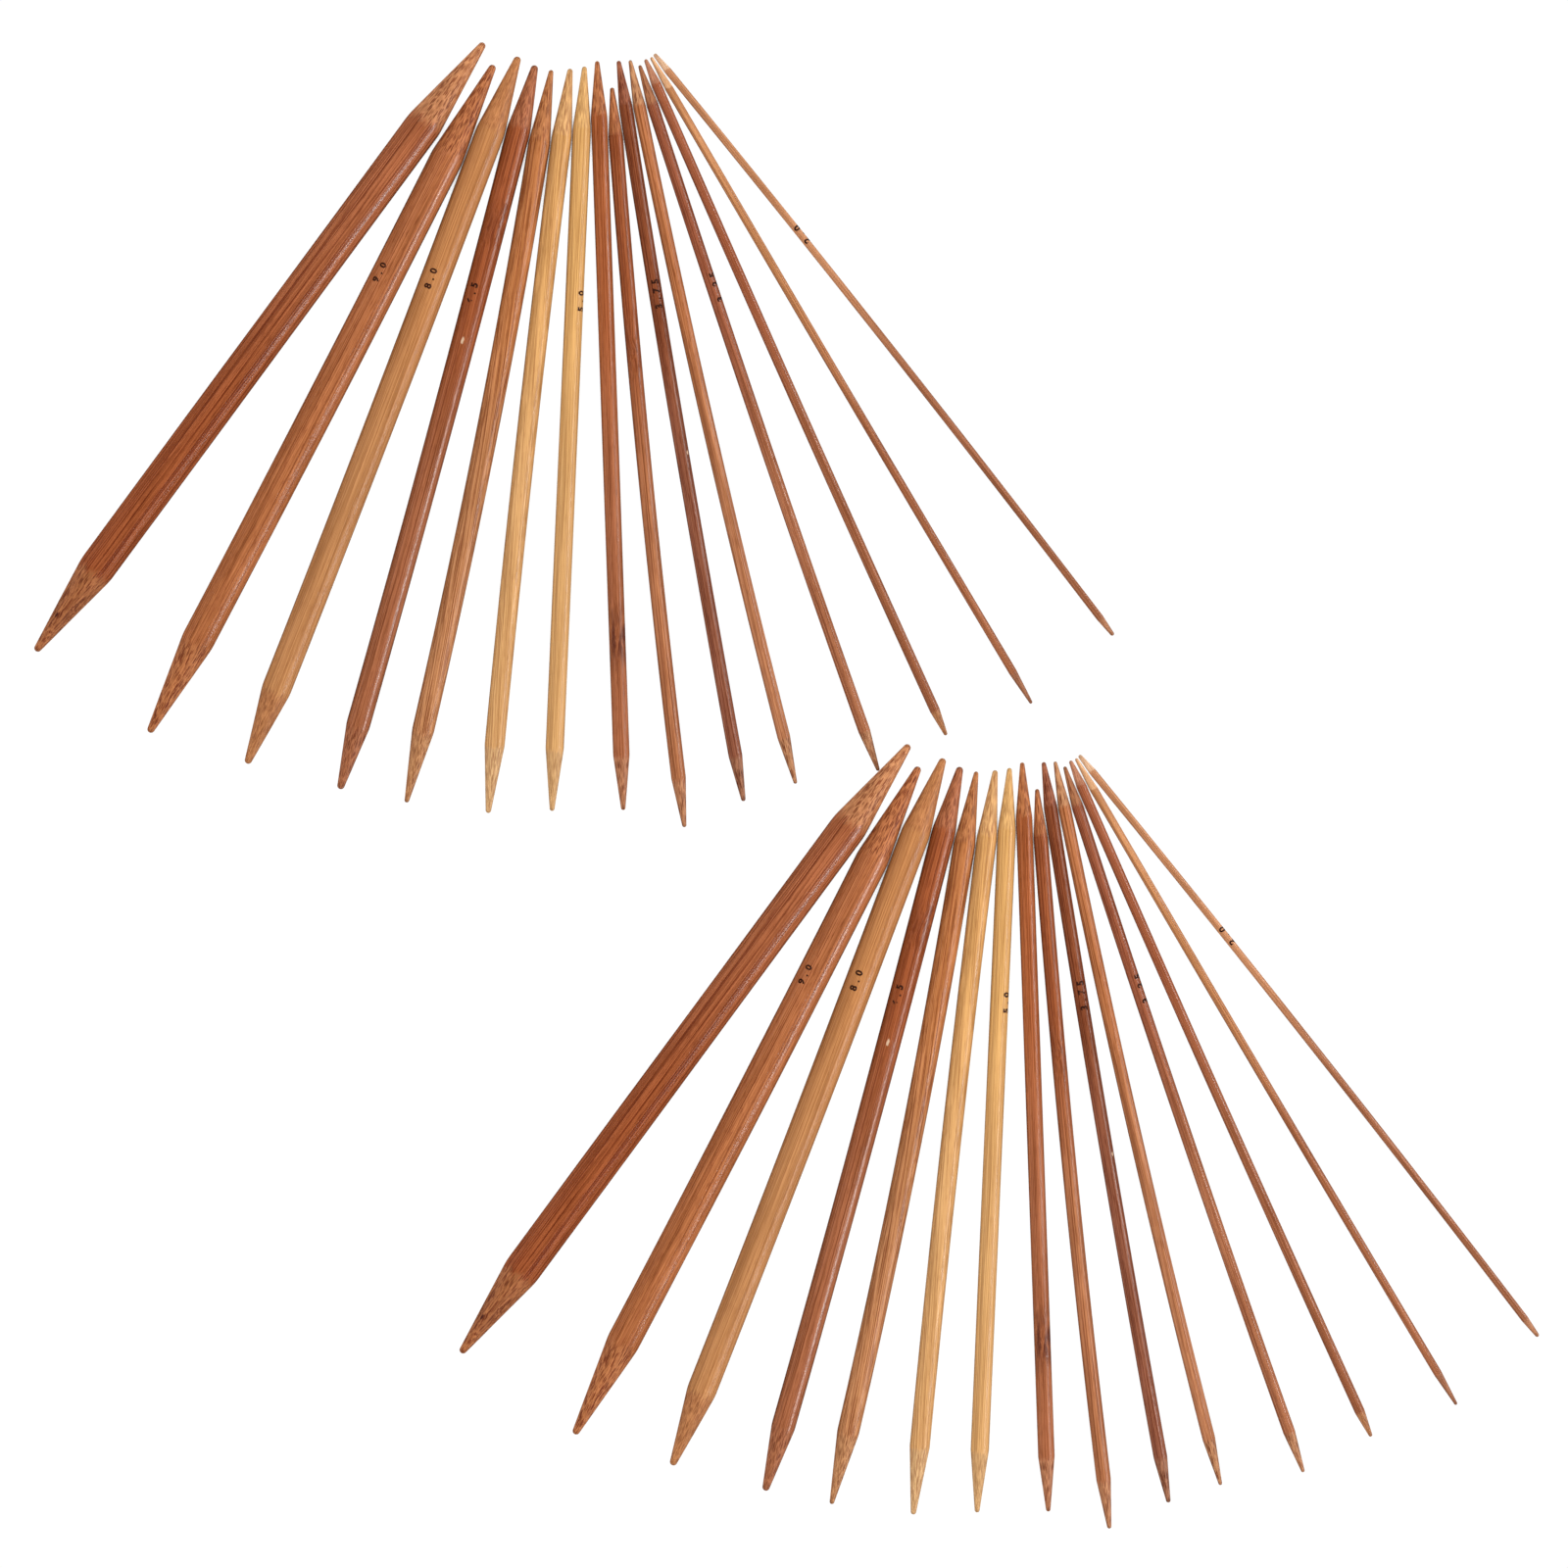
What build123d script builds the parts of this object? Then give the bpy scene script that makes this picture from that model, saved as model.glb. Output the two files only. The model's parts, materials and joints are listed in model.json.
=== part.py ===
from build123d import *
from math import acos, atan2, cos, degrees, hypot, radians, sin
from typing import NamedTuple
import os

# Bamboo knitting needles, pointed at both ends, in fifteen sizes. They lie on a flat
# surface, thickest on the left, spread like a fan, and there are two such fans.
# X runs across the fans, Y towards the ends that are close together, and Z is up.
# The origin is under the middle of the whole layout. All sizes are in millimetres.


class Needle(NamedTuple):
    """One size of needle, and the way it lies in its fan."""

    diameter: float
    length: float      # tip to tip
    point: float       # how much of each end is sharpened
    tip: float         # radius the very end is rounded to
    lean: float        # degrees its lower end swings towards -X
    bow: float         # how far its middle stands towards +X of a straight needle
    drop: float        # how far its upper tip lies below the highest tip of the fan
    gap: float         # least space between it and the needle on its left


FAN = [
    Needle(10.0, 205.7, 27.5, 1.00, 36.4, 0.0, 0.0, 0.0),
    Needle(9.0, 204.5, 28.0, 1.00, 27.3, 0.6, 6.0, 0.8),
    Needle(8.0, 206.2, 21.5, 1.00, 21.0, 0.6, 3.7, 0.1),
    Needle(6.5, 204.2, 18.0, 1.00, 15.1, 0.8, 6.0, 0.1),
    Needle(6.0, 203.5, 20.0, 0.65, 11.2, 2.0, 7.2, 0.1),
    Needle(5.5, 204.0, 18.5, 0.75, 6.3, -0.9, 6.9, 0.1),
    Needle(5.0, 203.0, 17.0, 0.68, 2.5, 0.0, 6.3, 0.1),
    Needle(4.5, 204.2, 15.0, 0.62, -2.0, 0.0, 4.8, 0.1),
    Needle(4.0, 202.5, 13.5, 0.60, -5.6, -1.3, 12.0, 0.1),
    Needle(3.75, 204.6, 12.5, 0.62, -9.6, -0.7, 4.7, 0.1),
    Needle(3.5, 202.3, 13.0, 0.50, -12.9, -1.4, 4.5, 0.1),
    Needle(3.25, 203.0, 11.5, 0.50, -18.7, -0.8, 5.9, 0.2),
    Needle(2.75, 201.6, 7.5, 0.52, -24.0, -0.5, 4.3, 0.2),
    Needle(2.25, 204.4, 10.0, 0.45, -30.5, -0.3, 3.7, 0.2),
    Needle(2.0, 201.9, 6.0, 0.55, -38.3, 0.9, 2.8, 0.3),
]

# The second fan is the first one again, this far to the right and below.
SECOND_FAN = (115.8, -191.1)

# A shoulder rounds the edge where point meets shaft. Its radius is this many shaft radii.
SHOULDER = 4.0

# Each needle starts well clear of the one on its left, then slides up to it.
APART = 20.0
SLIDES = 5


def shoulder_length(needle, slope):
    """How much of the shaft the rounded shoulder takes up."""
    return SHOULDER * needle.diameter / 2 * sin(slope / 2) / cos(slope / 2)


def cone_slope(needle):
    """The angle, in radians, between the needle's axis and the side of its point.

    The side runs from the shaft's edge and just touches the ball that rounds the tip.
    """
    radius = needle.diameter / 2
    to_ball = needle.point - needle.tip
    return acos(needle.tip / hypot(radius, to_ball)) - atan2(to_ball, radius)


def sharpened_end(needle):
    """One point, along +X, starting with its shoulder at the origin."""
    radius = needle.diameter / 2
    blend = SHOULDER * radius
    slope = cone_slope(needle)
    reach = shoulder_length(needle, slope) + needle.point
    ball = reach - needle.tip
    shoulder = (blend * sin(slope), radius - blend * (1 - cos(slope)))
    onto_ball = (ball + needle.tip * sin(slope), needle.tip * cos(slope))
    with BuildPart() as end:
        with BuildSketch(Plane.XY):
            with BuildLine():
                Line((0, 0), (0, radius))
                RadiusArc((0, radius), shoulder, blend)
                Line(shoulder, onto_ball)
                RadiusArc(onto_ball, (reach, 0), needle.tip)
                Line((reach, 0), (0, 0))
            make_face()
        revolve(axis=Axis.X)
    return end.part, reach


def needle_solid(needle):
    """A whole needle along Y, with its tips on the Y axis, bowed as bamboo dries."""
    end, reach = sharpened_end(needle)
    end = Rot(0, 0, 90) * end
    shaft_length = needle.length - 2 * reach
    section = Plane.XZ * Circle(needle.diameter / 2)
    if needle.bow == 0:
        shaft = extrude(section, shaft_length / 2, both=True)
        upper = Pos(0, shaft_length / 2) * end
        return shaft + upper + upper.mirror(Plane.XZ)

    # The shaft bends to one long arc about the hub, and the points carry straight on.
    # It is made bowed towards -X, then turned half round if it bows the other way.
    bow = abs(needle.bow)
    bend = shaft_length * (shaft_length + 4 * reach) / (8 * bow)
    half_turn = degrees(shaft_length / 2 / bend)
    hub = Axis((bend, 0, 0), (0, 0, 1))
    shaft = revolve(section, hub, -2 * half_turn).rotate(hub, half_turn)
    upper = end.rotate(hub, -half_turn)
    whole = Pos(-bow) * (shaft + upper + upper.mirror(Plane.XZ))
    return whole if needle.bow < 0 else whole.rotate(Axis.Z, 180)


def slide_up_to(solid, neighbour, gap):
    """Slide a needle to the left until it lies this far from its neighbour."""
    for _ in range(SLIDES):
        solid = Pos(gap - solid.distance_to(neighbour)) * solid
    return solid


def lay_fan():
    """The needles of one fan by their diameter, each one resting on the surface."""
    laid = []
    for needle in FAN:
        half = needle.length / 2
        solid = Rot(0, 0, -needle.lean) * needle_solid(needle)
        solid = Pos(0, -needle.drop - half * cos(radians(needle.lean))) * solid
        if laid:
            past = laid[-1].bounding_box().max.X - solid.bounding_box().min.X
            solid = slide_up_to(Pos(past + APART) * solid, laid[-1], needle.gap)
        laid.append(solid)
    return {
        needle.diameter: Pos(0, 0, needle.diameter / 2) * solid
        for needle, solid in zip(FAN, laid)
    }


def node_name(fan, diameter):
    """Such as upper_needle_3_75mm."""
    return f"{fan}_needle_{diameter}mm".replace(".", "_")


fan = lay_fan()
nodes = {node_name("upper", diameter): solid for diameter, solid in fan.items()}
nodes |= {node_name("lower", diameter): Pos(*SECOND_FAN) * solid for diameter, solid in fan.items()}

middle = Compound(nodes.values()).bounding_box().center()
os.makedirs("parts", exist_ok=True)
for name, solid in nodes.items():
    placed = Pos(-middle.X, -middle.Y) * solid
    placed.label = name
    export_step(placed, f"parts/{name}.step")
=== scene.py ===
import json
import math
from typing import NamedTuple

import bmesh
import bpy
import numpy as np
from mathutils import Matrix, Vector


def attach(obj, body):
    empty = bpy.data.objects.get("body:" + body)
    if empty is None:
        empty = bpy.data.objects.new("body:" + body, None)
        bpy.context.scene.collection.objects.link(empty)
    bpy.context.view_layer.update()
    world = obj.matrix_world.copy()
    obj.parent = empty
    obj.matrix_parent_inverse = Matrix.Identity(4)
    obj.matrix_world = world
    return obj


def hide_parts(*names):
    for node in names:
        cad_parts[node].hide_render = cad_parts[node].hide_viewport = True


# Two fans of bamboo knitting needles on a white table, seen from straight above.
# Each needle is turned again as one fine mesh along the line of its CAD needle, and its
# bamboo is a solid one: the fibres run through the needle from end to end, so they show
# as long stripes on the shaft and as short dashes where the points cut across them.

MM = 0.001
UP = np.array((0.0, 0.0, 1.0))

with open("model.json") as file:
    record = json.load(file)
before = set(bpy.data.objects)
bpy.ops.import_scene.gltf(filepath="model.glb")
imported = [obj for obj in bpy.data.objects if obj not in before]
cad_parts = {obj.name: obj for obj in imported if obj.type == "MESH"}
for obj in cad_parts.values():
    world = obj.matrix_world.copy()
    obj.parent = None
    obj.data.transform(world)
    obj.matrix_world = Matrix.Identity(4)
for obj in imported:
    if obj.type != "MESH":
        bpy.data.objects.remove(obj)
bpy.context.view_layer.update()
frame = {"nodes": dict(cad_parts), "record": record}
slot_of = {part["node"]: part["material_slot"] for part in frame["record"]["subparts"]}


# ---------------------------------------------------------------- what each needle is like

class Knot(NamedTuple):
    """A joint of the cane: the fibres swerve there and the wood may be darker."""

    place: float          # where along the needle, as a share of its length from the lower tip
    reach: float          # how far it spreads each way, in mm
    swerve: float         # how far the fibres swerve, in mm
    stain: float          # how dark it is, from 0 to 1


class Fleck(NamedTuple):
    """A chip or a blemish on the surface."""

    place: float          # as a share of the length from the lower tip
    angle: float          # round the needle, in degrees from its right side over the top
    length: float         # in mm
    width: float
    colour: tuple


class Look(NamedTuple):
    """The bamboo of one size of needle. Colours are as seen under the lamps, sRGB from 0 to 255."""

    upper_point: tuple
    upper_shaft: tuple
    lower_shaft: tuple
    lower_point: tuple
    stripes: float = 0.5  # how strongly the fibre bundles show on the shaft
    dashes: float = 0.8   # how strongly they show on the points
    bundles: float = 2.6  # fibre bundles per mm
    uneven: float = 1.0   # how much lighter and darker the wood is from place to place
    slant: float = 0.0    # sideways run of the fibres, in mm per mm
    wander: float = 1.0   # how far the fibres wander, in mm
    gloss: tuple = ()     # how much clear finish is on the lower and on the upper shaft, from 0 to 1
    mark: float = -90.0   # where the size is marked, in degrees from the right side over the top
    knots: tuple = ()
    flecks: tuple = ()


CHIP = (228, 192, 160)
CURL = (82, 38, 30)

LOOKS = {
    "bamboo_10_0mm": Look(
        (191, 127, 85), (168, 98, 64), (153, 82, 49), (166, 102, 63),
        stripes=0.8, dashes=0.9, bundles=2.1, gloss=(0.0, 0.5),
        knots=(Knot(0.06, 13, 0.6, 0.15),),
        flecks=(Fleck(0.055, 118, 2.2, 0.9, CURL),),
    ),
    "bamboo_9_0mm": Look(
        (182, 111, 69), (178, 108, 69), (172, 104, 65), (175, 108, 67),
        stripes=0.55, dashes=1.0, bundles=2.2, gloss=(0.0, 0.45), mark=118,
    ),
    "bamboo_8_0mm": Look(
        (184, 120, 74), (183, 122, 75), (183, 126, 81), (174, 114, 72),
        stripes=0.15, dashes=0.5, bundles=2.4, uneven=0.6, mark=104,
    ),
    "bamboo_6_5mm": Look(
        (173, 105, 70), (155, 83, 49), (162, 98, 66), (161, 99, 67),
        stripes=0.6, bundles=2.4, gloss=(0.6, 0.15), mark=107,
        knots=(Knot(0.78, 9, 0.8, 0.25),),
        flecks=(Fleck(0.62, 95, 2.4, 0.9, CHIP),),
    ),
    "bamboo_6_0mm": Look(
        (187, 120, 74), (182, 114, 69), (184, 125, 84), (182, 127, 86),
        stripes=0.75, bundles=2.4, slant=0.04, wander=2.0,
    ),
    "bamboo_5_5mm": Look(
        (214, 161, 106), (208, 153, 95), (207, 155, 102), (205, 160, 113),
        stripes=0.25, dashes=0.6, bundles=2.4, uneven=0.5, slant=0.04,
    ),
    "bamboo_5_0mm": Look(
        (214, 163, 103), (212, 159, 98), (205, 154, 100), (196, 150, 102),
        stripes=0.15, dashes=0.3, bundles=2.4, uneven=0.4, mark=37,
    ),
    "bamboo_4_5mm": Look(
        (188, 117, 72), (165, 92, 55), (163, 98, 66), (177, 118, 84),
        dashes=0.9,
        knots=(Knot(0.23, 12, 0.8, 0.85),),
    ),
    "bamboo_4_0mm": Look(
        (185, 114, 71), (156, 86, 53), (173, 110, 74), (176, 119, 84),
        stripes=0.65,
        knots=(Knot(0.65, 12, 0.9, 0.3),),
    ),
    "bamboo_3_75mm": Look(
        (154, 90, 64), (134, 73, 47), (146, 89, 67), (150, 99, 73),
        stripes=0.8, dashes=1.1, mark=75,
        flecks=(Fleck(0.47, 40, 1.6, 0.7, CHIP),),
    ),
    "bamboo_3_5mm": Look(
        (189, 133, 93), (177, 109, 69), (180, 118, 82), (174, 120, 84),
        dashes=1.0,
    ),
    "bamboo_3_25mm": Look(
        (167, 108, 73), (147, 83, 58), (164, 103, 72), (170, 117, 83),
        mark=41,
    ),
    "bamboo_2_75mm": Look(
        (181, 122, 93), (160, 92, 63), (152, 93, 64), (171, 115, 77),
        stripes=0.35, dashes=0.5, bundles=2.8,
    ),
    "bamboo_2_25mm": Look(
        (219, 166, 123), (186, 126, 84), (154, 94, 64), (150, 97, 70),
        stripes=0.3, dashes=0.25, bundles=2.8,
    ),
    "bamboo_2_0mm": Look(
        (216, 171, 137), (192, 133, 95), (155, 98, 70), (166, 112, 81),
        stripes=0.3, dashes=0.2, bundles=2.8, mark=53,
    ),
}


# ---------------------------------------------------------------- reading the CAD needles

class Line:
    """The line of a CAD needle and its radius along the way, read from the CAD mesh.

    A needle lies level on the table, straight at both ends, and its shaft may bow.
    """

    STRAIGHT = 0.05 * MM      # a smaller bow than this is none
    STEPS = 1000

    def __init__(self, node):
        points = np.array([v.co for v in node.data.vertices])
        flat = points[:, :2]
        run = np.linalg.svd(flat - flat.mean(0), full_matrices=False)[2][0]
        run *= np.sign(run[1])
        self.start = points[(flat @ run).argmin()]
        finish = points[(flat @ run).argmax()]
        self.radius = float(finish[2])
        self.length = float(np.linalg.norm(finish - self.start))
        self.chord = (finish - self.start) / self.length
        self.right = np.cross(self.chord, UP)
        self.measure(points - self.start)
        self.trace()

    def measure(self, points):
        """Find how the shaft bows, and the outline of the pointed end at the start.

        The reach is the length of a pointed end, and the turn is its angle to the chord.
        """
        along, aside, above = points @ self.chord, points @ self.right, points[:, 2]
        most, least = aside.max(), aside.min()
        bow = most - self.radius if most > -least else least + self.radius
        self.reach = self.length / 10
        # twice, because the turn and the reach depend on each other a little
        for _ in range(2):
            self.turn = 4 * bow / (self.length + 2 * self.reach) if abs(bow) > self.STRAIGHT else 0.0
            ahead = along * math.cos(self.turn) + aside * math.sin(self.turn)
            across = aside * math.cos(self.turn) - along * math.sin(self.turn)
            thick = np.hypot(across, above)
            self.reach = ahead[thick > 0.999 * self.radius].min()
        ahead = np.round(ahead, 6)
        self.stations = np.unique(ahead[ahead <= self.reach + 1e-6])
        self.radii = np.array([thick[ahead == station].mean() for station in self.stations])

    def trace(self):
        """Follow the line in small steps, turning evenly along the shaft."""
        self.track = np.linspace(0, self.length, self.STEPS + 1)
        share = np.clip((self.track - self.reach) / (self.length - 2 * self.reach), 0, 1)
        self.heading = self.turn * (1 - 2 * share)
        middle = (self.heading[1:] + self.heading[:-1]) / 2
        step = self.track[1]
        self.along = np.concatenate([[0], np.cumsum(step * np.cos(middle))])
        self.aside = np.concatenate([[0], np.cumsum(step * np.sin(middle))])

    def radius_at(self, s):
        """The radius at a distance from the start, the same at both ends."""
        return np.interp(np.minimum(s, self.length - s), self.stations, self.radii)

    def place(self, s):
        """Points on the line this far from the start, and the level direction to its right there."""
        along = np.interp(s, self.track, self.along)[..., None]
        aside = np.interp(s, self.track, self.aside)[..., None]
        heading = np.interp(s, self.track, self.heading)[..., None]
        points = self.start + along * self.chord + aside * self.right
        return points, np.cos(heading) * self.right - np.sin(heading) * self.chord


# ---------------------------------------------------------------- needle meshes

END_RINGS = 44            # rings on each point
SHAFT_STEP = 3 * MM       # between rings on the shaft


def ring_stations(line):
    """Where the rings of a needle's mesh lie: close together at the tips and shoulders."""
    eased = (1 - np.cos(np.linspace(0, math.pi, END_RINGS + 1))) / 2 * line.reach
    count = round((line.length - 2 * line.reach) / SHAFT_STEP)
    shaft = np.linspace(line.reach, line.length - line.reach, count + 1)
    return np.concatenate([eased[:-1], shaft, (line.length - eased)[::-1][1:]])[1:-1]


def surface(line, s, angle, seed):
    """Distance of a hand-sanded needle's surface from its line, which strays a little from round."""
    phase = np.random.default_rng(int(seed)).uniform(0, 2 * math.pi, 4)
    # the shaft swells a little and is a little oval, and sanding leaves facets on the points
    shaft = 0.004 * np.sin(s / (17 * MM) + phase[0])
    shaft += 0.003 * np.cos(2 * angle + s / (60 * MM) + phase[1])
    facets = 0.012 * np.cos(3 * angle + phase[2]) + 0.008 * np.cos(7 * angle + s / (4 * MM) + phase[3])
    on_point = np.clip(1 - np.minimum(s, line.length - s) / line.reach, 0, 1)
    return line.radius_at(s) * (1 + shaft + facets * np.sqrt(on_point) * (1 - on_point ** 4))


def around(line, s, angle, distance):
    """Points at this distance from the line, at an angle from its right side over the top."""
    centres, right = line.place(s)
    across = (distance * np.cos(angle))[..., None]
    above = (distance * np.sin(angle))[..., None]
    return centres + across * right + above * UP


def needle_mesh(name, line, seed):
    """One needle, lofted ring by ring. Its grain coordinates run along, right and up, in mm."""
    s = ring_stations(line)
    # more sides on a thicker needle, and always an even number
    sides = 14 + round(2.2 * line.radius / MM) * 2
    along, angle = np.meshgrid(s, np.arange(sides) * 2 * math.pi / sides, indexing="ij")
    distance = surface(line, along, angle, seed)
    tips = line.place(np.array([0, line.length]))[0]
    points = np.concatenate([around(line, along, angle, distance).reshape(-1, 3), tips])
    grain = np.stack([along, distance * np.cos(angle), distance * np.sin(angle)], -1).reshape(-1, 3)
    grain = np.concatenate([grain, [[0, 0, 0], [line.length, 0, 0]]]) / MM

    faces = []
    last = len(s) - 1
    for i in range(sides):
        j = (i + 1) % sides
        for ring in range(0, last * sides, sides):
            following = ring + sides
            faces.append((ring + i, following + i, following + j, ring + j))
        faces.append((len(points) - 2, i, j))
        faces.append((len(points) - 1, last * sides + j, last * sides + i))
    mesh = bpy.data.meshes.new(name)
    mesh.from_pydata(points.tolist(), [], faces)
    mesh.shade_smooth()
    attribute = mesh.attributes.new("grain", "FLOAT_VECTOR", "POINT")
    attribute.data.foreach_set("vector", grain.astype(np.float32).ravel())
    return mesh


# ---------------------------------------------------------------- size marks

MARK_HEIGHT = 2.1 * MM
MARK_SPACING = 1.9        # between numerals, beside the font's own spacing
MARK_WEIGHT = 0.04        # how much fatter than plain the numerals are
MARK_PLACE = 0.685        # of the needle's length from its lower tip
MARK_STRIP = 0.2 * MM     # width of the strips that bend round the needle
INK_ABOVE = 0.02 * MM     # how far the ink stands out of the wood
INK_BELOW = 0.05 * MM     # how far it reaches into it
FRESH_INK = (56, 30, 24)
WORN_INK = (100, 58, 40)


def flat_numerals(label):
    """Numerals filled with faces, cut across into strips narrow enough to bend round a needle."""
    text = bpy.data.curves.new("numerals", "FONT")
    text.body = label
    text.offset = MARK_WEIGHT
    text.space_character = MARK_SPACING
    text.align_x = "CENTER"
    text.align_y = "CENTER"
    holder = bpy.data.objects.new("numerals", text)
    flat = bmesh.new()
    flat.from_mesh(bpy.data.meshes.new_from_object(holder))
    tallest = max(v.co.y for v in flat.verts) - min(v.co.y for v in flat.verts)
    bmesh.ops.scale(flat, verts=flat.verts, vec=Vector((1, 1, 1)) * MARK_HEIGHT / tallest)
    for cut in np.arange(-MARK_HEIGHT / 2, MARK_HEIGHT / 2, MARK_STRIP):
        everything = flat.verts[:] + flat.edges[:] + flat.faces[:]
        bmesh.ops.bisect_plane(flat, geom=everything, plane_co=(0, cut, 0), plane_no=(0, 1, 0))
    bmesh.ops.remove_doubles(flat, verts=flat.verts, dist=0.001 * MM)
    bpy.data.objects.remove(holder)
    return flat


def size_mark(name, label, line, place, seed):
    """The size of a needle in raised ink, reading towards its upper tip, at this angle in degrees."""
    ink = flat_numerals(label)
    lid = ink.faces[:]
    base = bmesh.ops.extrude_face_region(ink, geom=lid)["geom"]
    bmesh.ops.reverse_faces(ink, faces=lid)
    heights = dict.fromkeys(ink.verts, -INK_BELOW)
    heights.update({v: INK_ABOVE for v in base if isinstance(v, bmesh.types.BMVert)})
    flat = np.array([v.co for v in heights])
    s = MARK_PLACE * line.length + flat[:, 0]
    angle = math.radians(place) + flat[:, 1] / line.radius
    distance = surface(line, s, angle, seed) + np.array(list(heights.values()))
    for vertex, point in zip(heights, around(line, s, angle, distance)):
        vertex.co = point
    mesh = bpy.data.meshes.new(name)
    bmesh.ops.recalc_face_normals(ink, faces=ink.faces)
    ink.to_mesh(mesh)
    return mesh


# ---------------------------------------------------------------- materials

LIGHT = 1.68              # how much brighter the lamps make a matt surface than its own colour
VEIL = 0.005              # the light that a needle adds by reflecting the lamps


def linear(colour):
    """An sRGB colour from 0 to 255 as linear light."""
    share = [c / 255 for c in colour]
    return [c / 12.92 if c < 0.04045 else ((c + 0.055) / 1.055) ** 2.4 for c in share]


def own_colour(seen):
    """The own colour of a surface that looks like this under the lamps."""
    return [max(c - VEIL, 0.002) / LIGHT for c in linear(seen)] + [1.0]


class Graph:
    """A material's nodes, made by short calls that return output sockets."""

    def __init__(self, name):
        self.material = bpy.data.materials.new(name)
        self.material.use_nodes = True
        self.tree = self.material.node_tree
        self.tree.nodes.clear()

    def add(self, kind, inputs, **settings):
        """A node with these settings, its inputs given by name or by number."""
        node = self.tree.nodes.new("ShaderNode" + kind)
        for key, value in settings.items():
            setattr(node, key, value)
        for key, value in inputs.items():
            if isinstance(value, bpy.types.NodeSocket):
                self.tree.links.new(value, node.inputs[key])
            else:
                node.inputs[key].default_value = value
        return node

    def math(self, operation, *values):
        return self.add("Math", dict(enumerate(values)), operation=operation).outputs[0]

    def vector(self, operation, *values):
        return self.add("VectorMath", dict(enumerate(values)), operation=operation).outputs[0]

    def noise(self, vector, scale, detail=2.0, output=0):
        """Noise from 0 to 1 with this many waves per mm each way."""
        inputs = {"Vector": self.vector("MULTIPLY", vector, scale), "Scale": 1.0, "Detail": detail}
        return self.add("TexNoise", inputs).outputs[output]

    def swing(self, value, amount, middle=1.0):
        """A value from 0 to 1 made to swing this much in all about a middle."""
        return self.math("MULTIPLY_ADD", self.math("SUBTRACT", value, 0.5), amount, middle)

    def fade(self, value, low, high, start=0.0, end=1.0):
        """From start, below low, smoothly to end, above high."""
        inputs = {"Value": value, "From Min": low, "From Max": high, "To Min": start, "To Max": end}
        return self.add("MapRange", inputs, interpolation_type="SMOOTHSTEP").outputs[0]

    def mix(self, factor, first, second):
        return self.add("Mix", {0: factor, 6: first, 7: second}, data_type="RGBA").outputs[2]

    def grey(self, value):
        """The same value three times over."""
        return self.add("CombineXYZ", {0: value, 1: value, 2: value}).outputs[0]

    def tint(self, colour, by):
        """A colour times another."""
        inputs = {0: 1.0, 6: colour, 7: by}
        return self.add("Mix", inputs, data_type="RGBA", blend_type="MULTIPLY").outputs[2]


def knot_window(g, along, knot, length):
    """1 at a knot and 0 away from it."""
    away = g.math("ABSOLUTE", g.math("SUBTRACT", along, knot.place * length))
    return g.fade(away, 0.0, knot.reach, 1.0, 0.0)


def fleck_mask(g, grain, fleck, line):
    """1 on a fleck and 0 off it, with a ragged edge."""
    angle = math.radians(fleck.angle)
    radius = float(line.radius_at(fleck.place * line.length)) / MM
    across, above = radius * math.cos(angle), radius * math.sin(angle)
    offset = g.vector("SUBTRACT", grain, (fleck.place * line.length / MM, across, above))
    offset = g.vector("MULTIPLY", offset, (2 / fleck.length, 2 / fleck.width, 2 / fleck.width))
    distance = g.add("VectorMath", {0: offset}, operation="LENGTH").outputs["Value"]
    distance = g.math("ADD", distance, g.swing(g.noise(grain, (1.5, 3.0, 3.0)), 0.9, 0.0))
    return g.fade(distance, 0.6, 1.0, 1.0, 0.0)


PALE = (1.22, 1.25, 1.22, 1)  # the wood between fibre bundles, beside the average
DARK = (0.44, 0.21, 0.13, 1)  # the bundles, beside the average
KNOT_BROWN = (92, 46, 38)     # the stain at a knot
HALVES = (0.38, 0.72)         # where the lower half's look starts and ends turning into the upper's
FINISH_ROUGHNESS = 0.22       # of the clear finish
RELIEF = 0.06 * MM            # the height of bumps


def fibre_course(g, place, along, look, knots):
    """Places in the wood moved so that the fibres run straight.

    First without the fibres' lean and their swerves at the knots, then with them.
    """
    wander = g.vector("SUBTRACT", g.noise(place, (0.011, 0.09, 0.09), 2.0, "Color"), (0.5, 0.5, 0.5))
    upright = g.vector("ADD", place, g.vector("MULTIPLY", wander, (0.0, look.wander, look.wander)))
    lean = g.math("MULTIPLY", along, look.slant)
    fibres = g.vector("ADD", upright, g.add("CombineXYZ", {0: 0.0, 1: lean, 2: 0.0}).outputs[0])
    for knot, window in knots:
        swirl = g.vector("SUBTRACT", g.noise(place, (0.12, 0.35, 0.35), 1.0, "Color"), (0.5, 0.5, 0.5))
        swirl = g.vector("MULTIPLY", swirl, (0.0, 4 * knot.swerve, 4 * knot.swerve))
        fibres = g.vector("ADD", fibres, g.vector("MULTIPLY", swirl, g.grey(window)))
    return upright, fibres


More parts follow.
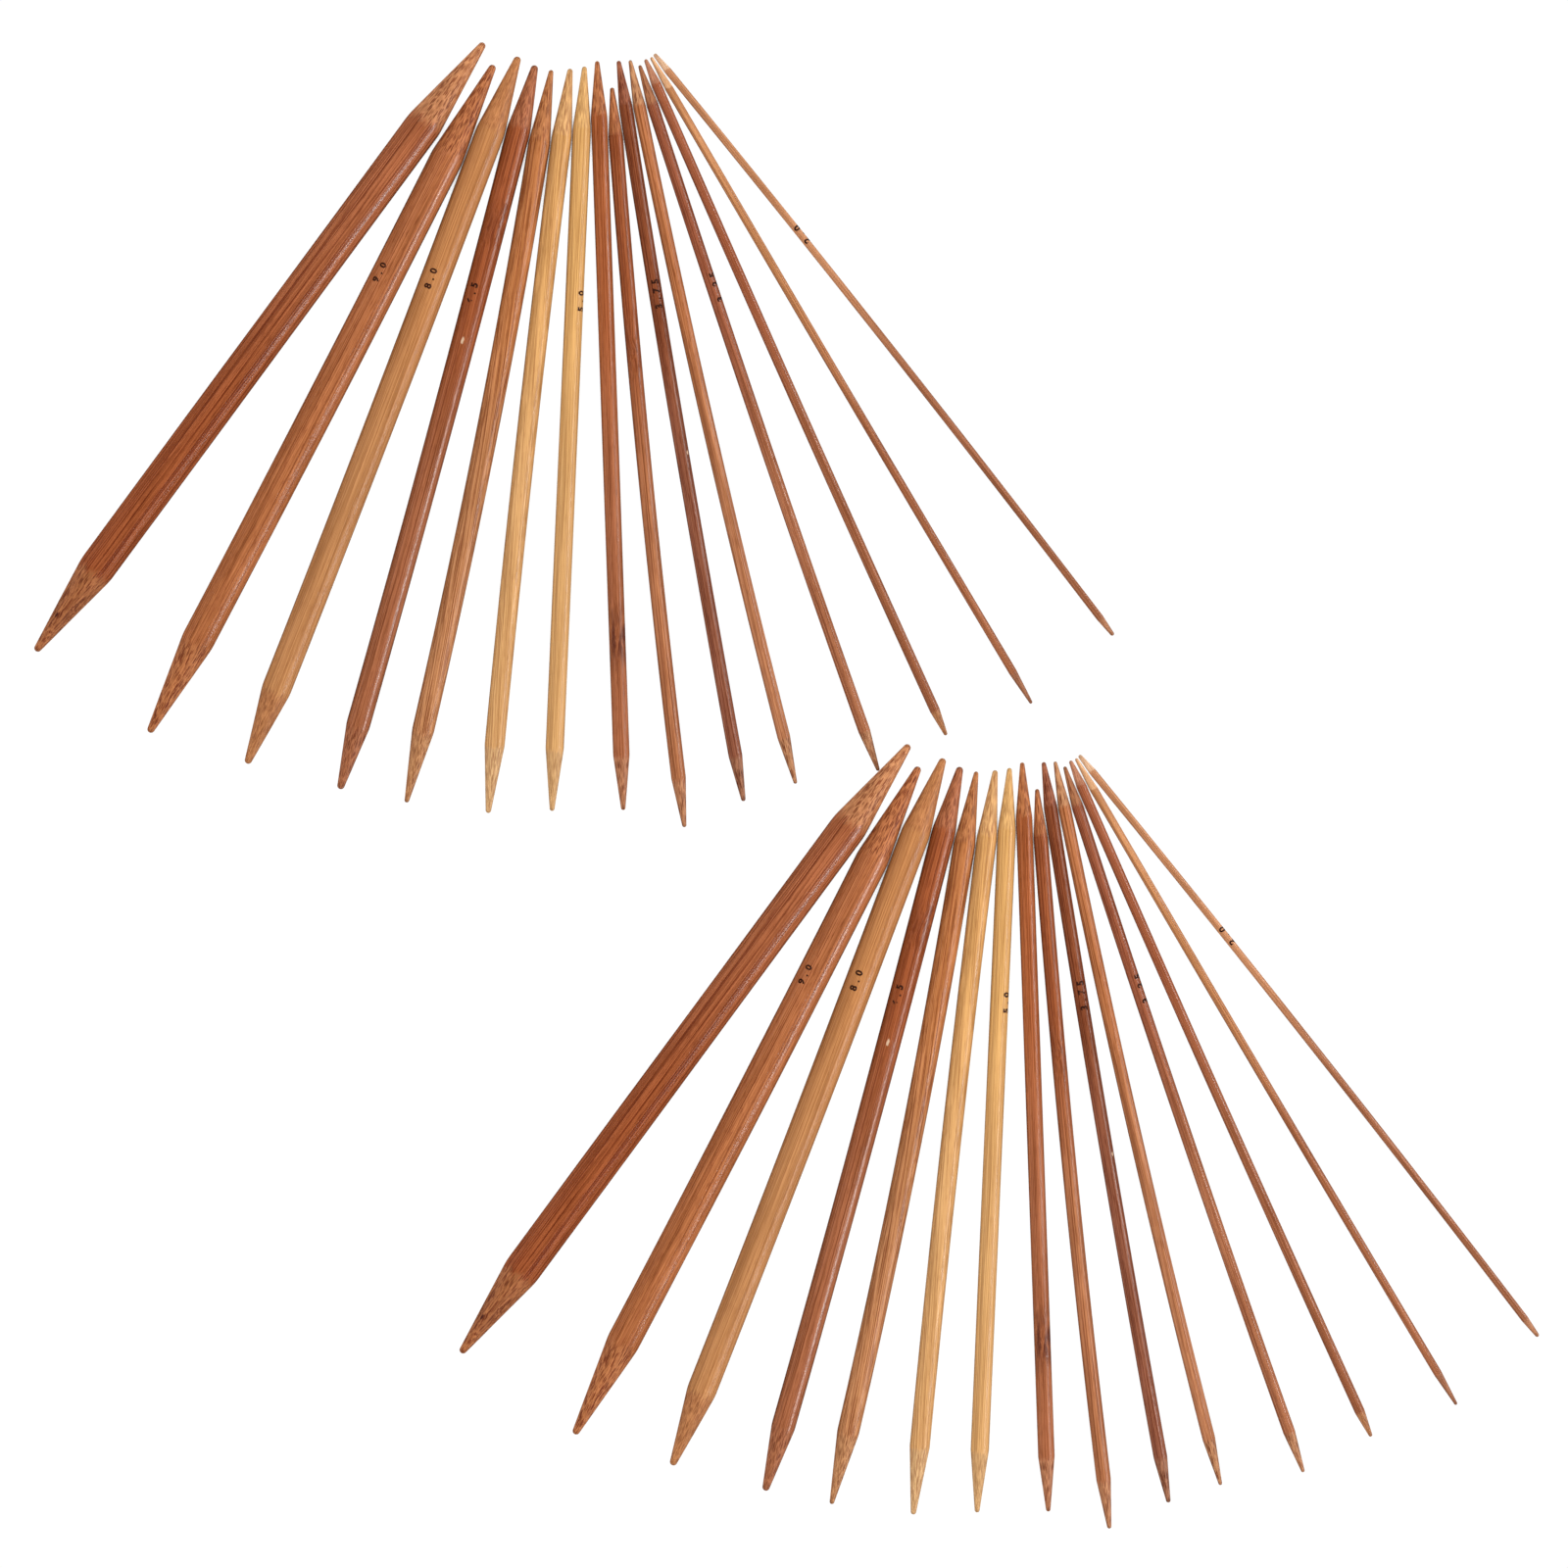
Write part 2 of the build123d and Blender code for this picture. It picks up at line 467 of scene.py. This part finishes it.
def fibre_bundles(g, fibres, grit, per_mm):
    """1 in a fibre bundle and 0 between them. Each has its own thickness, and they fade in and out."""
    side, height = g.add("SeparateXYZ", {0: fibres}).outputs[1:3]
    section = g.add("CombineXYZ", {0: side, 1: height, 2: 0.0}).outputs[0]
    cells = g.add("TexVoronoi", {"Vector": section, "Scale": per_mm, "Randomness": 0.9},
                  feature="F1", voronoi_dimensions="2D")
    from_middle = g.math("ADD", cells.outputs["Distance"], g.swing(grit, 0.14, 0.0))
    own = g.add("SeparateColor", {0: cells.outputs["Color"]}).outputs[0]
    thick = g.math("MULTIPLY_ADD", own, 0.24, 0.2)
    core, rim = g.math("MULTIPLY", thick, 0.8), g.math("MULTIPLY", thick, 1.15)
    bundle = g.fade(from_middle, core, rim, 1.0, 0.0)
    broken = g.fade(g.noise(fibres, (0.05, 1.3, 1.3)), 0.3, 0.55, 0.3, 1.0)
    return g.math("MULTIPLY", bundle, broken)


def bamboo(slot, look, line, seed):
    """Solid bamboo: fibre bundles that run the length of the needle in paler wood."""
    g = Graph(slot)
    radius, length, reach = line.radius / MM, line.length / MM, line.reach / MM
    grain = g.add("Attribute", {}, attribute_name="grain").outputs["Vector"]
    along = g.add("SeparateXYZ", {0: grain}).outputs[0]
    # each size is cut from its own place in the wood
    place = g.vector("ADD", grain, (31.7 * seed, 17.3 * seed, 11.9 * seed))
    knots = [(knot, knot_window(g, along, knot, length)) for knot in look.knots]

    # the fibres, and the finer unevenness of the wood
    upright, fibres = fibre_course(g, place, along, look, knots)
    grit = g.noise(place, (0.8, 3.5, 3.5))
    bundle = fibre_bundles(g, fibres, grit, look.bundles)
    hairs = g.fade(g.noise(fibres, (0.03, 3.6, 3.6), 3.0), 0.3, 0.7)   # fine fibres
    ticks = g.fade(g.noise(fibres, (0.28, 2.6, 2.6), 2.0), 0.5, 0.72)  # short dark specks
    bands = g.noise(upright, (0.008, 0.5, 0.5))                        # long streaks
    cloud = g.noise(place, (0.04, 0.25, 0.25), 3.0)                    # patches

    # the shaft keeps its stained skin, and the points are cut into bare wood
    end = g.math("MINIMUM", along, g.math("SUBTRACT", length, along))
    edge = g.math("ADD", end, g.swing(hairs, 0.6 * radius, 0.0))
    skin = g.fade(edge, reach - 0.7 * radius, reach - 0.3 * radius)

    # colour along the needle
    upper = g.fade(along, HALVES[0] * length, HALVES[1] * length)
    shaft = g.mix(upper, own_colour(look.lower_shaft), own_colour(look.upper_shaft))
    point = g.mix(upper, own_colour(look.lower_point), own_colour(look.upper_point))
    wood = g.mix(skin, point, shaft)
    shade = g.swing(bands, 0.45 * look.uneven, g.swing(hairs, 0.5))
    shade = g.swing(cloud, 0.4 * look.uneven, shade)
    strength = g.math("MULTIPLY", bundle, g.fade(skin, 0.0, 1.0, look.dashes, look.stripes))
    strength = g.math("MAXIMUM", strength, g.math("MULTIPLY", ticks, 0.5 * look.dashes))
    green, blue = g.math("POWER", shade, 1.2), g.math("POWER", shade, 1.4)
    colour = g.tint(wood, g.add("CombineXYZ", {0: shade, 1: green, 2: blue}).outputs[0])
    colour = g.mix(strength, g.tint(colour, PALE), g.tint(colour, DARK))
    for knot, window in knots:
        blotch = g.fade(g.noise(fibres, (0.15, 0.9, 0.9), 3.0), 0.35, 0.6, 0.0, knot.stain)
        colour = g.mix(g.math("MULTIPLY", blotch, window), colour, own_colour(KNOT_BROWN))
    for fleck in look.flecks:
        colour = g.mix(fleck_mask(g, grain, fleck, line), colour, own_colour(fleck.colour))
    colour = g.tint(colour, g.grey(g.fade(end, 0.3, 1.4, 0.85, 1.0)))

    # the fibres stand out a little, less on a thin needle, and the clear finish lies in low waves
    relief = g.math("MULTIPLY_ADD", hairs, 0.5, g.math("MULTIPLY", bundle, -0.4))
    relief = g.math("MULTIPLY_ADD", grit, 0.6, relief)
    bump = g.add("Bump", {"Strength": min(0.6, 0.2 * radius), "Distance": RELIEF, "Height": relief})
    dull = g.swing(bands, 0.3, g.swing(hairs, 0.15, 0.27))
    roughness = g.math("ADD", dull, g.fade(skin, 0.0, 1.0, 0.25, 0.0))
    waves = g.noise(place, (0.12, 1.2, 1.2))
    ripple = g.add("Bump", {"Strength": 0.07, "Distance": RELIEF, "Height": waves})
    finish = 0.0
    if look.gloss:
        amount = g.fade(along, HALVES[0] * length, HALVES[1] * length, *look.gloss)
        finish = g.math("MULTIPLY", skin, amount)
    shader = g.add("BsdfPrincipled", {
        "Base Color": colour,
        "Roughness": roughness,
        "Specular IOR Level": 0.3,
        "Normal": bump.outputs[0],
        "Coat Weight": finish,
        "Coat Roughness": FINISH_ROUGHNESS,
        "Coat Normal": ripple.outputs[0],
    })
    g.add("OutputMaterial", {"Surface": shader.outputs[0]})
    return g.material


def size_ink():
    """Dark brown ink, worn thin in places."""
    g = Graph("size_ink")
    place = g.add("TexCoord", {}).outputs["Object"]
    wear = g.noise(place, (900, 900, 900), 3.0)
    colour = g.mix(g.fade(wear, 0.45, 0.8), own_colour(FRESH_INK), own_colour(WORN_INK))
    shader = g.add("BsdfPrincipled", {"Base Color": colour, "Roughness": g.swing(wear, 0.3, 0.6),
                                      "Specular IOR Level": 0.2})
    g.add("OutputMaterial", {"Surface": shader.outputs[0]})
    return g.material


# ---------------------------------------------------------------- making the needles

def add_piece(mesh, material, body):
    """Put a mesh in the scene as a piece that moves with a body."""
    mesh.materials.append(material)
    piece = bpy.data.objects.new(mesh.name, mesh)
    bpy.context.scene.collection.objects.link(piece)
    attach(piece, body)
    return piece


ink = size_ink()
materials = {}
for node_name, node in frame["nodes"].items():
    slot = slot_of[node_name]
    look = LOOKS[slot]
    seed = list(LOOKS).index(slot) + 1
    line = Line(node)
    if slot not in materials:
        materials[slot] = bamboo(slot, look, line, seed)
    needle = add_piece(needle_mesh(node_name + ".turned", line, seed), materials[slot], node_name)
    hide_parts(node_name)
    size = slot.removeprefix("bamboo_").removesuffix("mm").replace("_", ".")
    add_piece(size_mark(node_name + ".size", size, line, look.mark, seed), ink, node_name)


# ---------------------------------------------------------------- table, light and camera

VIEW_MIDDLE = (-0.8 * MM, 0.45 * MM)
VIEW_WIDTH = 427.4 * MM
CAMERA_HEIGHT = 5.0
SENSOR = 36               # the width of the camera's sensor, in mm as Blender wants it
TABLE_HALF = 20.0         # half the width of the table
TABLE_MIDDLE = (3.0, 0.0, -0.05 * MM)  # just low enough to stay clear of the needles


def table_top():
    """A plain white table that looks evenly white, with painted shade deep in the narrowest gaps
    between needles.

    It is off centre, so that the line where its two triangles meet is out of sight.
    """
    g = Graph("table")
    matt = g.add("BsdfDiffuse", {"Color": (0.9, 0.9, 0.9, 1)}).outputs[0]
    openness = g.add("AmbientOcclusion", {"Distance": 12 * MM}, samples=24).outputs["AO"]
    # a little more than 1, so that the open table is pure white, dimmed to painted shade where the
    # narrowest gaps close the table in
    glow_with_painted_gap_shade = g.fade(openness, 0.02, 0.07, 0.02, 1.03)
    white_with_painted_gap_shade = g.add("Emission", {"Strength": glow_with_painted_gap_shade}).outputs[0]
    seen = g.add("LightPath", {}).outputs["Is Camera Ray"]
    shader = g.add("MixShader", {0: seen, 1: matt, 2: white_with_painted_gap_shade})
    g.add("OutputMaterial", {"Surface": shader.outputs[0]})
    mesh = bpy.data.meshes.new("table")
    corners = [(-1, -1), (1, -1), (1, 1), (-1, 1)]
    mesh.from_pydata([(x * TABLE_HALF, y * TABLE_HALF, 0) for x, y in corners], [], [(0, 1, 2, 3)])
    mesh.materials.append(g.material)
    top = bpy.data.objects.new("table", mesh)
    top.location = TABLE_MIDDLE
    top.visible_glossy = False
    bpy.context.scene.collection.objects.link(top)


def area_light(name, place, size, radiance, mirrored=False):
    """A soft lamp that faces the middle of the needles, and may show in their shine."""
    lamp = bpy.data.lights.new(name, "AREA")
    lamp.shape = "RECTANGLE"
    lamp.size, lamp.size_y = size
    lamp.energy = radiance * math.pi * size[0] * size[1]
    holder = bpy.data.objects.new(name, lamp)
    holder.visible_glossy = mirrored
    holder.location = place
    holder.rotation_euler = (-Vector(place)).to_track_quat("-Z", "Y").to_euler()
    bpy.context.scene.collection.objects.link(holder)


def surroundings(strength):
    """An even white room that lights the needles but does not show in their shine."""
    world = bpy.data.worlds.new("room")
    world.use_nodes = True
    background = world.node_tree.nodes["Background"]
    background.inputs["Color"].default_value = (1, 1, 1, 1)
    background.inputs["Strength"].default_value = strength
    bpy.context.scene.world = world
    world.cycles_visibility.glossy = False


def camera_above(centre, width, height):
    """A long lens straight above, wide enough to show this much of the table."""
    data = bpy.data.cameras.new("camera")
    data.sensor_width = SENSOR
    data.lens = SENSOR * height / width
    holder = bpy.data.objects.new("camera", data)
    holder.location = (*centre, height)
    bpy.context.scene.collection.objects.link(holder)
    bpy.context.scene.camera = holder


table_top()
surroundings(0.2)
area_light("far_softbox", (0.0, 1.3, 1.2), (2.0, 1.0), 5.0)
area_light("near_softbox", (0.0, -1.3, 1.2), (2.0, 1.0), 5.0)
area_light("left_reflector", (-1.25, 0.0, 0.3), (1.6, 0.5), 3.2)
area_light("right_strip", (1.0, 0.0, 0.48), (1.6, 0.12), 20.0, mirrored=True)
camera_above(VIEW_MIDDLE, VIEW_WIDTH, CAMERA_HEIGHT)
bpy.context.scene.view_settings.view_transform = "Standard"
